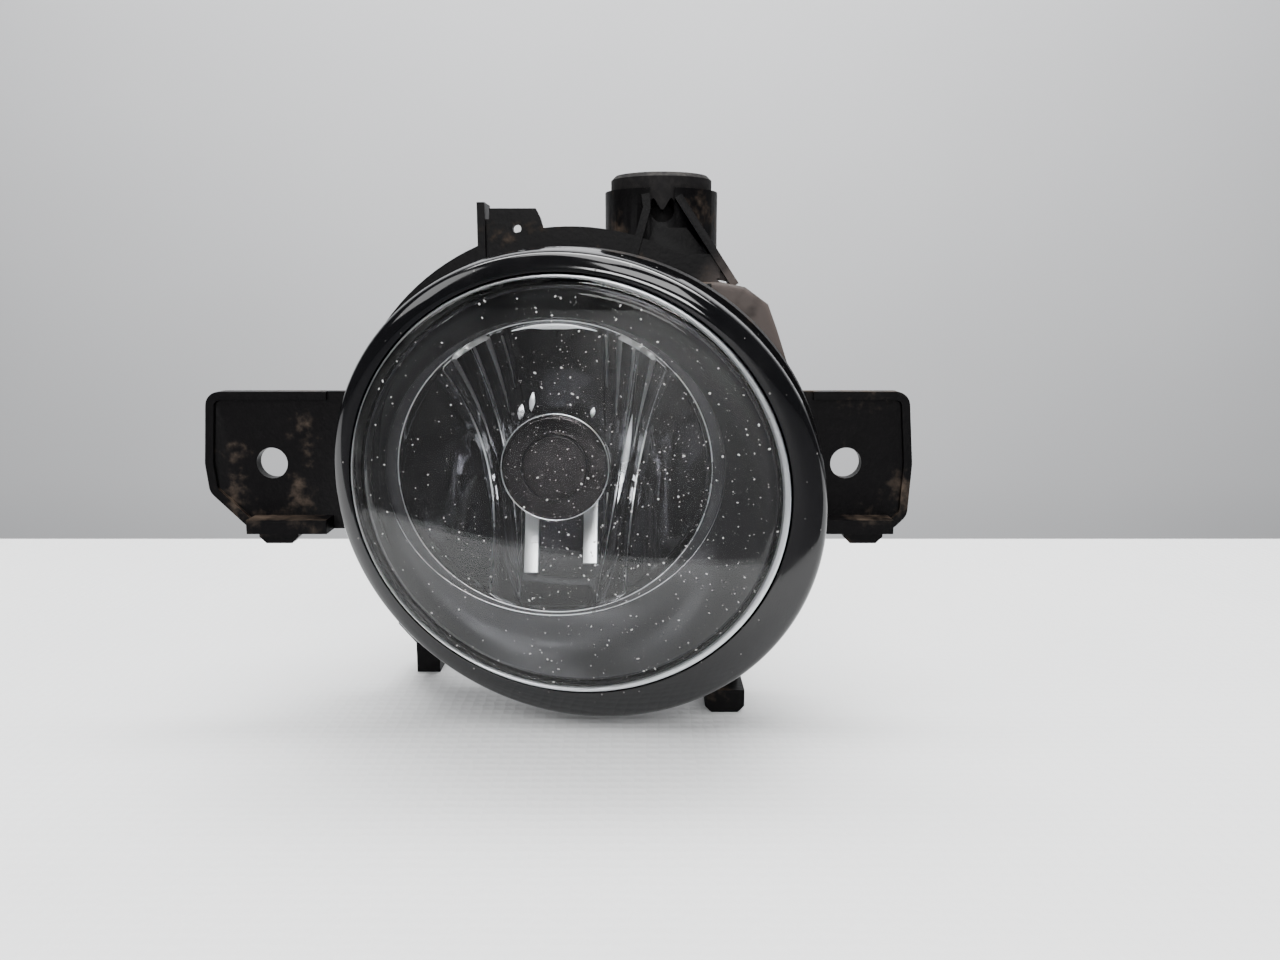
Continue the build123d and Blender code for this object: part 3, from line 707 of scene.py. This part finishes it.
class LAMP_OT_rim(bpy.types.Operator):
    """Builds the gloss rim round the glass"""

    bl_idname = "lamp.rim"
    bl_label = "Gloss rim"

    def execute(self, context):
        size = context.scene.lamp_glass
        top, shoulder, back = -0.7, 0.8, -8.0
        # face: height falls with the square of the distance across, then an elliptic outer edge
        across = np.linspace(0.06, shoulder, 16)
        face = np.stack([across, top - 1.7 * across**2], 1)
        turn = np.linspace(math.radians(22), math.pi / 2, 14)
        start = math.sin(turn[0])
        edge = np.stack([shoulder + (1 - shoulder) * (np.sin(turn) - start) / (1 - start), 0 * turn], 1)
        edge[:, 1] = face[-1, 1] - 2.2 * (math.cos(turn[0]) - np.cos(turn))
        lip = rounded_line([(0.0, -4.6), (0.0, top), (0.05, top)], [0, 0.3, 0], 6, False)
        skirt = rounded_line(
            [(1.0, -5.2), (1.0, back), (0.79, back), (0.79, -4.6)], [0, 0.25, 0.2, 0.1], 4, False
        )
        section = np.concatenate([lip, face, edge[1:], skirt])
        hole, outside = size.lens_radius / MM + 0.3, size.rim_radius / MM
        grid = ring_band(GLASS_CENTRE, hole, RIM_CENTRE, outside, section, squash=RIM_SQUASH)
        finish_piece("gloss_rim", [loft_mesh("rim", grid)], "rim", ["lens_ring"], 50.0)
        return {"FINISHED"}


def band_edges(z):
    """Half-widths of the panel, the flute and the hollow at height z: each a quadratic in z."""
    hollow = 17.2 + 0.199 * z + 0.00278 * z**2
    flute = 13.2 + 0.165 * z - 0.001 * z**2
    return np.minimum(8.6 + 0.02 * z, flute - 0.4), flute, hollow


def reflector_depth(x, z, half_w, half_h, depth):
    """Depth behind the mouth: depth * (1 - rho^2) of the oval bowl, plus bands. Hollows are
    set back and dished, flutes are half-round, and the bands beside the panel carry upright ribs
    that fade downwards. Everything fades to the plain bowl at the edge."""
    rho2 = np.clip((x / half_w) ** 2 + (z / half_h) ** 2, 0, 1)
    bowl = depth * (1 - rho2)
    panel, flute, hollow = band_edges(z)
    ax = np.abs(x)
    fade = np.clip((1 - rho2) / 0.05, 0, 1)
    fade = fade * fade * (3 - 2 * fade)
    across = np.clip((ax - flute) / (hollow - flute), 0, 1)
    inside_flute = (ax > flute) & (ax <= hollow)
    inside_hollow = ax > hollow
    between = (ax > panel) & (ax <= flute)
    dish = np.clip((ax - hollow) / np.maximum(half_w - hollow, 1), 0, 1)
    lower = np.clip((z + 18) / 34, 0, 1)
    band = (ax - panel) / np.maximum(flute - panel, 0.4)
    ribs = np.abs(np.sin(band * math.pi * 3)) * 0.5 * lower + 0.5 * np.sin(band * math.pi)
    change = -1.3 * inside_flute * np.sin(np.pi * across)
    change = change + inside_hollow * (1.2 + 2.2 * np.sin(np.pi * dish**0.8))
    change = change - 0.9 * between * ribs
    change = change + 0.5 * (ax <= panel) * np.cos(np.clip(ax / panel, 0, 1) * math.pi / 2) ** 0.5
    return bowl + change * fade


def edge_strip(side, edge_x, z, lift, a, b, depth, width, thickness, taper):
    """Strip that runs over the reflector at x = side * edge_x, standing lift in front of it."""
    x = side * edge_x
    y = MOUTH_Y - lift + reflector_depth(x, z, a, b, depth)
    return bar_mesh(np.stack([x, y, z], 1), width, thickness, taper)


def swell(steps):
    """From 0 at both ends to 1 in the middle: sin(pi t)."""
    return np.sin(np.linspace(0, math.pi, steps))


class LAMP_OT_reflector(bpy.types.Operator):
    """Builds the banded reflector, its flat edge and the light caught on its ridges"""

    bl_idname = "lamp.reflector"
    bl_label = "Reflector"

    def bowl(self, a, b, depth):
        """Rows run across at height z; columns keep their share between the band edges, each edge
        being cut off where the oval is narrower. The back is at least 0.6 behind the front."""
        turn = np.linspace(-math.pi / 2, math.pi / 2, 170)
        z = (b * np.sin(turn))[:, None]
        reach = a * np.cos(turn)[:, None] + 1e-4
        panel, flute, hollow = (np.minimum(edge, reach) for edge in band_edges(z))
        bands = [(0 * reach, panel, 12), (panel, flute, 26), (flute, hollow, 26), (hollow, reach, 44)]
        right = np.concatenate(
            [lo + (hi - lo) * np.linspace(0.0006, 0.9994, count)[None] for lo, hi, count in bands], 1
        )
        x = np.concatenate([-right[:, ::-1], 0 * z, right], 1)
        z = z + 0 * x
        front = np.stack([x, MOUTH_Y + reflector_depth(x, z, a, b, depth), z], -1)
        back = front[:, ::-1].copy()
        rho2 = np.clip((back[..., 0] / a) ** 2 + (back[..., 2] / b) ** 2, 0, 1)
        back[..., 1] = np.maximum(back[..., 1] + 0.6, MOUTH_Y + depth * (1 - rho2) + 2.0)
        return loft_mesh("bowl", np.concatenate([front, back], 1) * MM, False, True)

    def flat_edge(self, a, b):
        """Flat ring from the bowl's mouth to the trim: (1 - w) * inner oval + w * outer oval."""
        section = rounded_line([(0, 2.2), (0, 0), (1, 0), (1, 2.2)], 0.25, 4)
        inner = oval(a - 0.05, b - 0.05, 288)
        outer = oval(EDGE_HALF_WIDTH, EDGE_HALF_HEIGHT, 288)
        w = section[:, 0]
        ring = inner[:, None] * (1 - w)[None, :, None] + outer[:, None] * w[None, :, None]
        ring[..., 1] += MOUTH_Y - 0.05 + section[:, 1][None]
        return loft_mesh("edge", ring * MM)

    def ridges(self, a, b, depth):
        """Painted highlights: bright metal strips along the band edges and the mouth, thinning to
        nothing at their ends.
        """
        skins = []
        for side in (-1, 1):
            for edge, width, top in ((1, 0.34, 0.86), (2, 0.42, 0.82)):
                z = np.linspace(-0.93, top, 70) * b
                x = np.minimum(band_edges(z)[edge], a * np.sqrt(1 - (z / b) ** 2) - 0.8)
                skins.append(edge_strip(side, x, z, 0.15, a, b, depth, width, width, swell(70) ** 0.5))
        # a broad leaf of light beside the cap
        z = np.linspace(-11.0, 9.5, 40)
        leaf_x = band_edges(z)[1] + 0.7
        skins.append(edge_strip(1, leaf_x, z, 1.2, a, b, depth, 1.7, 0.8, swell(40)))
        # painted highlights: thin bright hoops round the mouth and round the outside of the flat edge
        thin = circle(8, 0.13)
        for w, h in ((a + 0.05, b + 0.05), (EDGE_HALF_WIDTH - 0.2, EDGE_HALF_HEIGHT - 0.2)):
            highlight_hoop = oval(w, h, 288)[:, None] * (1 + thin[None, :, :1] / w)
            highlight_hoop[..., 1] += MOUTH_Y - 0.15 + thin[None, :, 1]
            skins.append(loft_mesh("highlight_hoop", highlight_hoop * MM))
        # top glint: a strip of light along the head of the panel, fat in the middle
        x = np.linspace(-8.6, 8.6, 60)
        z = b * np.sqrt(1 - (x / a) ** 2) - 1.0
        fat = 0.3 + 0.7 * np.exp(-((x / 4.0) ** 4))
        skins.append(edge_strip(1, x, z, 0.5, a, b, depth, 1.5, 0.4, fat * swell(60) ** 0.3))
        return skins

    def streaks(self, a, b, depth):
        """Soft streaks of painted highlight beside the panel, in a lighter metal than the reflector.
        Each has its share of the way from panel to flute (over 1, from flute to hollow), its low end
        and its width."""
        upper = ((0.15, 15.0, 0.5), (0.5, 9.0, 1.1), (0.9, 6.0, 0.7), (1.5, 2.0, 1.2))
        marks = (*upper, (0.4, -22.0, 0.4))
        skins = []
        for side in (-1, 1):
            for share, low, width in marks:
                z = np.linspace(low, 26.5 if low > 0 else -9.0, 50)
                panel, flute, hollow = band_edges(z)
                if share < 1:
                    x = panel + share * (flute - panel)
                else:
                    x = flute + (share - 1) * (hollow - flute)
                x = np.minimum(x, a * np.sqrt(1 - (z / b) ** 2) - 1.0)
                taper = np.linspace(0.05, 1, 50) ** 0.8
                skins.append(edge_strip(side, x, z, 0.8, a, b, depth, width, 0.3, taper))
        return skins

    def execute(self, context):
        size = context.scene.lamp_reflector
        a, b, depth = size.half_width / MM, size.half_height / MM, size.depth / MM
        bowl, edge = [self.bowl(a, b, depth)], [self.flat_edge(a, b)]
        ridges, streaks = self.ridges(a, b, depth), self.streaks(a, b, depth)
        finish_piece("banded_reflector", bowl, "reflector", ["reflector"], 25.0)
        finish_piece("reflector_ridge_highlights", ridges, "leg", (), 60.0)
        finish_piece("reflector_highlight_streaks", streaks, "streak", (), 60.0)
        finish_piece("reflector_edge", edge, "trim")
        return {"FINISHED"}


class LAMP_OT_bezel(bpy.types.Operator):
    """Builds the smooth trim between reflector and glass"""

    bl_idname = "lamp.bezel"
    bl_label = "Trim bezel"

    def execute(self, context):
        rim_radius, lip_radius, lip_front, lip_back = 39.5, 40.1, -2.7, -5.15
        mouth = oval(EDGE_HALF_WIDTH - 0.35, EDGE_HALF_HEIGHT - 0.35, 256) + (0, MOUTH_Y - 0.15, 0)
        turn = circle(256)
        spoke = turn[:, :1] * ACROSS + turn[:, 1:] * UPWARD
        rim = GLASS_CENTRE + rim_radius * spoke + lip_front * FORWARD
        # cove: point = (1 - s) * mouth + s * rim, bellied backwards by sin(pi s)
        s = np.linspace(0, 1, 40)
        face = mouth[:, None] * (1 - s)[None, :, None] + rim[:, None] * s[None, :, None]
        face[..., 1] += 1.6 * np.sin(math.pi * s**1.3)[None]
        lip = GLASS_CENTRE + lip_radius * spoke + lip_front * FORWARD
        lip_rear = GLASS_CENTRE + (lip_radius - 0.2) * spoke + lip_back * FORWARD
        rear = face[:, ::-1] + (0, 0.55, 0)
        cove = loft_mesh("cove", np.concatenate([face, lip[:, None], lip_rear[:, None], rear], 1) * MM)
        finish_piece("trim_cove", [cove], "trim", ["trim_bezel"], 45.0)
        return {"FINISHED"}


class LAMP_OT_shield(bpy.types.Operator):
    """Builds the bright cap over the bulb, its two legs and the light caught on them"""

    bl_idname = "lamp.shield"
    bl_label = "Bulb shield"

    def cap(self):
        """Cup with a raised disc on its front, as a turned profile of radius and depth."""
        radius, wall, skirt, disc, disc_height = 11.0, 0.8, 12.0, 6.4, 0.8
        inside, back = radius - wall, CAP_FRONT + skirt
        profile = rounded_line(
            [
                (0, CAP_FRONT - disc_height),
                (disc, CAP_FRONT - disc_height),
                (disc + 0.5, CAP_FRONT),
                (radius, CAP_FRONT),
                (radius, back),
                (inside, back),
                (inside, CAP_FRONT + wall),
                (0, CAP_FRONT + wall),
            ],
            [0, 0.3, 0.4, 1.3, 0.25, 0.25, 0.6, 0],
            7,
            False,
        )
        return loft_mesh("cap", turned_grid(*CAP_AXES, profile, 160), True, False)

    def bright_parts(self):
        """Legs, the bar that joins them, a ring of light round the cap and three drops of painted
        highlight over it.
        """
        skins = []
        for x, low in ((-6.2, -23.6), (6.4, -21.6)):
            path = [(x, 7.6, -8.6), (x, 6.0, -12.0), (x, 1.8, low + 1.5), (x, 1.1, low)]
            skins.append(bar_mesh(path, 3.1, 0.8))
        arc = np.linspace(math.radians(232), math.radians(308), 24)
        path = np.stack([11.9 * np.cos(arc), np.full_like(arc, 4.2), 11.9 * np.sin(arc) + 0.6], 1)
        skins.append(bar_mesh(path, 1.2, 0.8))
        # painted highlight: a thin bright ring round the cap's front edge
        ring = circle(8, 0.11) + (10.75, CAP_FRONT + 0.1)
        skins.append(loft_mesh("ring", turned_grid(*CAP_AXES, ring, 160)))
        # painted highlights: short bright drops over the cap, each as x, z, length and width
        drops = ((-7.3, 11.3, 3.4, 1.5), (-5.0, 13.4, 4.2, 1.2), (7.2, 11.2, 2.2, 1.0))
        for x, z, length, width in drops:
            t = np.linspace(0, 1, 16)
            path = np.stack([x + 0.5 * t, 0 * t + CAP_FRONT + 4.2, z + length * (t - 0.5)], 1)
            skins.append(bar_mesh(path, width, 0.4, swell(16)))
        return skins

    def execute(self, context):
        finish_piece("bulb_cap", [self.cap()], "shield", ["bulb_shield"])
        finish_piece("bulb_cap_legs", self.bright_parts(), "leg")
        # painted highlight: a thin torus of the rougher trim metal round the disc's front edge outlines
        # the disc
        ring = circle(8, 0.066) + (6.55, CAP_FRONT - 0.8)
        disc_outline_highlight = loft_mesh("disc", turned_grid(*CAP_AXES, ring, 120))
        finish_piece("bulb_cap_disc_outline_highlight", [disc_outline_highlight], "trim", (), 60.0)
        return {"FINISHED"}


def bar_mesh(path, width, thickness, taper=1.0):
    """Strip carried along a path: a rounded rectangle, times taper at each point, swept on the
    path's own frame, with its ends closed to a point in the middle."""
    path = np.asarray(path, float)
    along = np.gradient(path, axis=0)
    along /= np.linalg.norm(along, axis=1)[:, None]
    deep = np.array([0.0, 1.0, 0.0])
    side = np.cross(along, deep)
    side /= np.linalg.norm(side, axis=1)[:, None]
    out = np.cross(side, along)
    w, h = width / 2, thickness / 2
    section = rounded_line([(-w, -h), (w, -h), (w, h), (-w, h)], min(w, h) * 0.6, 4)
    taper = np.broadcast_to(np.asarray(taper, float), (len(path),))[:, None, None]
    offset = section[None, :, :1] * side[:, None] + section[None, :, 1:] * out[:, None]
    grid = path[:, None] + taper * offset
    ends = [np.repeat(p[None], len(section), 0)[None] for p in (path[0], path[-1])]
    grid = np.concatenate([ends[0], grid, ends[1]], 0)
    return loft_mesh("bar", grid * MM, False, True)


class LAMP_OT_flecks(bpy.types.Operator):
    """Scatters flecks of dust over the glass"""

    bl_idname = "lamp.flecks"
    bl_label = "Dust flecks"

    def execute(self, context):
        size = context.scene.lamp_glass
        radius, count = size.lens_radius / MM, size.dust_flecks
        rng = np.random.default_rng(7)
        # place: uniform over the disc, kept more often to the right and below the cap
        tries = count * 3
        r = (radius - 2.0) * np.sqrt(rng.random(tries))
        a = rng.random(tries) * 2 * math.pi
        x, y = r * np.cos(a), r * np.sin(a)
        cluster = np.exp(-((x - 1) ** 2 / 60 + (y + 9) ** 2 / 24))
        keep = rng.random(tries) < 0.16 + 0.22 * (x / radius > -0.2) + 0.62 * cluster
        x, y = x[keep][:count], y[keep][:count]
        h = dome_height(size, np.hypot(x, y))
        scale = 0.06 + 0.2 * rng.random(len(x)) ** 5
        # fleck: a low six-sided cap, radius scale, height a third of it
        corners = 6
        ring = np.concatenate([circle(corners), np.zeros((corners, 1))], 1)
        shape = np.concatenate([ring, [[0, 0, 0.35]], [[0, 0, -0.05]]])
        spin = (rng.random(len(x)) * 2 * math.pi)[:, None]
        stretch = (0.6 + 0.8 * rng.random(len(x)))[:, None]
        sx, sy = shape[None, :, 0] * stretch, shape[None, :, 1] / stretch
        px = x[:, None] + scale[:, None] * (sx * np.cos(spin) - sy * np.sin(spin))
        py = y[:, None] + scale[:, None] * (sx * np.sin(spin) + sy * np.cos(spin))
        ph = h[:, None] + 0.05 + scale[:, None] * shape[None, :, 2]
        points = px[..., None] * ACROSS + py[..., None] * UPWARD + ph[..., None] * FORWARD
        points = (GLASS_CENTRE + points).reshape(-1, 3) * MM
        i = np.arange(corners)
        j = (i + 1) % corners
        top = np.stack([i, j, np.full(corners, corners)], 1)
        bottom = np.stack([j, i, np.full(corners, corners + 1)], 1)
        first = np.arange(len(x)) * len(shape)
        faces = (np.concatenate([top, bottom])[None] + first[:, None, None]).reshape(-1, 3)
        mesh = vertices_to_mesh("flecks", points, faces)
        finish_piece("glass_dust_flecks", [mesh], "fleck", (), 180.0, outward=False)
        return {"FINISHED"}


def smooth_copy(node, name, finish, width=0.35, angle=35.0):
    """Copy of a CAD piece with its seams merged, flat faces joined and edges eased by a bevel."""
    source = frame["nodes"][node]
    mesh = source.data.copy()
    bm = bmesh.new()
    bm.from_mesh(mesh)
    bmesh.ops.remove_doubles(bm, verts=bm.verts, dist=2e-6)
    bmesh.ops.dissolve_limit(bm, angle_limit=math.radians(0.8), verts=bm.verts, edges=bm.edges)
    bm.to_mesh(mesh)
    bm.free()
    if mesh.has_custom_normals:
        mesh.normals_split_custom_set([(0, 0, 0)] * len(mesh.loops))
    mesh.name = name
    obj = bpy.data.objects.new(name, mesh)
    bpy.context.scene.collection.objects.link(obj)
    mesh.materials.clear()
    mesh.materials.append(MATERIALS[finish])
    mesh.shade_smooth()
    mesh.set_sharp_from_angle(angle=math.radians(angle))
    bevel = obj.modifiers.new("Eased edges", "BEVEL")
    bevel.width = width * MM
    bevel.segments = 2
    bevel.limit_method = "ANGLE"
    bevel.angle_limit = math.radians(angle)
    bevel.use_clamp_overlap = True
    bevel.harden_normals = True
    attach(obj, source["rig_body"])
    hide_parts(node)
    return obj


class LAMP_OT_crown_wheel(bpy.types.Operator):
    """Builds the toothed wheel in the top of the adjuster tube"""

    bl_idname = "lamp.crown_wheel"
    bl_label = "Crown wheel"

    def execute(self, context):
        axis = (21.6, 20.0, 0)
        top, radius, ease, root, tip, teeth = 60.0, 10.95, 0.9, 54.6, 52.2, 18
        crown, hub, hub_low, bore, bore_top = radius - 3.2, 5.0, 46.1, 3.0, 57.0
        under = root + 0.2
        profile = [
            (0, top),
            (radius - ease, top),
            (radius, top - ease),
            (radius, root),
            (crown, root),
            (crown - 0.2, under),
            (hub, under),
            (hub, hub_low),
            (bore, hub_low),
            (bore, bore_top),
            (0, bore_top),
        ]
        steps = 12 * teeth
        grid = turned_grid(axis, (0, 0, 1), (1, 0, 0), profile, steps)
        # teeth on the crown: the two root points fall by a triangle wave of the angle, blunt at the tip
        share = np.abs((np.arange(steps) * teeth / steps) % 1.0 - 0.5) * 2
        fall = (root - tip) * np.clip(1.25 * (1 - share) - 0.1, 0, 1) * MM
        grid[:, 3:5, 2] -= fall[:, None]
        wheel = [loft_mesh("wheel", grid, True, False)]
        slot, node = "adjuster_plastic", "adjuster_wheel"
        finish_piece("crown_wheel", wheel, "adjuster", [node], 30.0, body="adjuster")
        return {"FINISHED"}


class LAMP_OT_mouldings(bpy.types.Operator):
    """Eases the edges of the moulded and turned CAD pieces"""

    bl_idname = "lamp.mouldings"
    bl_label = "Moulded pieces"

    def execute(self, context):
        smooth_copy("carrier_frame", "carrier_moulding", "carrier", 0.4)
        smooth_copy("rear_housing", "housing_shell", "housing", 0.4)
        smooth_copy("bulb_base", "bulb_base_moulding", "socket", 0.3)
        smooth_copy("adjuster_nut", "lift_nut", "adjuster", 0.2)
        return {"FINISHED"}


# ---------------------------------------------------------------- stage


def area_light(name, place, target, size, power):
    """Rectangular lamp at place, turned to look at target."""
    light = bpy.data.lights.new(name, "AREA")
    light.shape = "RECTANGLE"
    light.size, light.size_y = size
    light.energy = power
    obj = bpy.data.objects.new(name, light)
    obj.location = place
    obj.rotation_euler = (Vector(target) - Vector(place)).to_track_quat("-Z", "Y").to_euler()
    bpy.context.scene.collection.objects.link(obj)


def flat_stage(name, corners, material):
    """Four-cornered stage sheet."""
    mesh = vertices_to_mesh(name, np.array(corners, float), np.array([[0, 1, 2, 3]]))
    obj = bpy.data.objects.new(name, mesh)
    bpy.context.scene.collection.objects.link(obj)
    mesh.materials.append(material)
    return obj


def level_stage(name, front, back, height, material):
    """Level stage sheet from front to back, as wide as the table."""
    plan = [(-TABLE_SIDE, front), (TABLE_SIDE, front), (TABLE_SIDE, back), (-TABLE_SIDE, back)]
    return flat_stage(name, [(x, y, height) for x, y in plan], material)


def stage_material(name, scale, detail, first, second, roughness):
    """Stage finish: a slow noise between two near colours."""
    material, net, shader, place = new_material(name)
    slow = net.noise(place, scale, Detail=detail)
    net.put(shader, "Base Color", mixed(net, slow, rgb(first), rgb(second)))
    net.put(shader, "Roughness", roughness)
    return material, net, shader, place


class LAMP_OT_stage(bpy.types.Operator):
    """Sets the table, wall, lights and camera"""

    bl_idname = "lamp.stage"
    bl_label = "Stage"

    def execute(self, context):
        floor = CAD_BOX[0][2]
        cloth, net, shader, place = stage_material(
            "Table Sheet", 9.0, 3.0, (0.80, 0.80, 0.80), (0.72, 0.73, 0.74), 0.85
        )
        weave = net.add("ShaderNodeTexVoronoi", Vector=place, Scale=420.0, Randomness=0.25)
        bumped(net, shader, weave.outputs["Distance"], 0.35, 0.0006)
        plaster = stage_material(
            "Pale Wall", 3.0, 2.0, (0.62, 0.625, 0.64), (0.56, 0.565, 0.58), 0.7
        )[0]
        # painted dark reflection: beyond the cut the lamp's glossy and transmitted rays see a dark
        # sheet, hidden from camera and lighting, in place of the pale table
        dark_reflection_finish = stage_material(
            "Painted Dark Reflection", 4.0, 2.0, (0.07, 0.07, 0.075), (0.13, 0.13, 0.135), 0.5
        )[0]
        level_stage("table", TABLE_CUT, TABLE_BACK, floor, cloth)
        front = level_stage("table_front", TABLE_FRONT, TABLE_CUT, floor, cloth)
        front.visible_glossy = front.visible_transmission = front.visible_shadow = False
        under = level_stage("dark_reflection_floor", TABLE_FRONT, TABLE_CUT, floor - FLOOR_DROP, dark_reflection_finish)
        under.visible_camera = under.visible_diffuse = under.visible_shadow = False
        left, right = (-WALL_SIDE, WALL_Y), (WALL_SIDE, WALL_Y)
        corners = [(*left, WALL_LOW), (*right, WALL_LOW), (*right, WALL_TOP), (*left, WALL_TOP)]
        flat_stage("wall", corners, plaster)
        for light in LIGHTS:
            area_light(*light)
        world = context.scene.world or bpy.data.worlds.new("World")
        context.scene.world = world
        world.use_nodes = True
        sky = world.node_tree.nodes["Background"].inputs
        sky[0].default_value = (0.8, 0.82, 0.85, 1)
        sky[1].default_value = WORLD_STRENGTH
        camera = bpy.data.cameras.new("Camera")
        camera.lens = CAMERA_LENS
        camera.sensor_width = 36.0
        camera.clip_start = 0.01
        obj = bpy.data.objects.new("Camera", camera)
        obj.location = CAMERA_PLACE
        obj.rotation_euler = (CAMERA_TILT, 0, 0)
        context.scene.collection.objects.link(obj)
        context.scene.camera = obj
        return {"FINISHED"}


class LAMP_PT_panel(bpy.types.Panel):
    """Sidebar panel with the sizes and the building steps"""

    bl_idname = "LAMP_PT_panel"
    bl_label = "Fog Lamp"
    bl_space_type = "VIEW_3D"
    bl_region_type = "UI"
    bl_category = "Fog Lamp"

    def draw(self, context):
        scene = context.scene
        for settings in (scene.lamp_glass, scene.lamp_reflector, scene.lamp_carrier):
            box = self.layout.box()
            for name in settings.bl_rna.properties.keys():
                if name not in {"rna_type", "name"}:
                    box.prop(settings, name)
        for step in STEPS:
            self.layout.operator(step.bl_idname)


STEPS = (
    LAMP_OT_stage,
    LAMP_OT_finishes,
    LAMP_OT_front_glass,
    LAMP_OT_rim,
    LAMP_OT_reflector,
    LAMP_OT_bezel,
    LAMP_OT_shield,
    LAMP_OT_flecks,
    LAMP_OT_crown_wheel,
    LAMP_OT_mouldings,
)
CLASSES = (LampGlassSettings, LampReflectorSettings, LampCarrierSettings, *STEPS, LAMP_PT_panel)


def register():
    for cls in CLASSES:
        bpy.utils.register_class(cls)
    bpy.types.Scene.lamp_glass = PointerProperty(type=LampGlassSettings)
    bpy.types.Scene.lamp_reflector = PointerProperty(type=LampReflectorSettings)
    bpy.types.Scene.lamp_carrier = PointerProperty(type=LampCarrierSettings)


def unregister():
    del bpy.types.Scene.lamp_carrier
    del bpy.types.Scene.lamp_reflector
    del bpy.types.Scene.lamp_glass
    for cls in reversed(CLASSES):
        bpy.utils.unregister_class(cls)


def main():
    register()
    for step in STEPS:
        group_name, call = step.bl_idname.split(".")
        getattr(getattr(bpy.ops, group_name), call)()


if __name__ == "__main__":
    main()
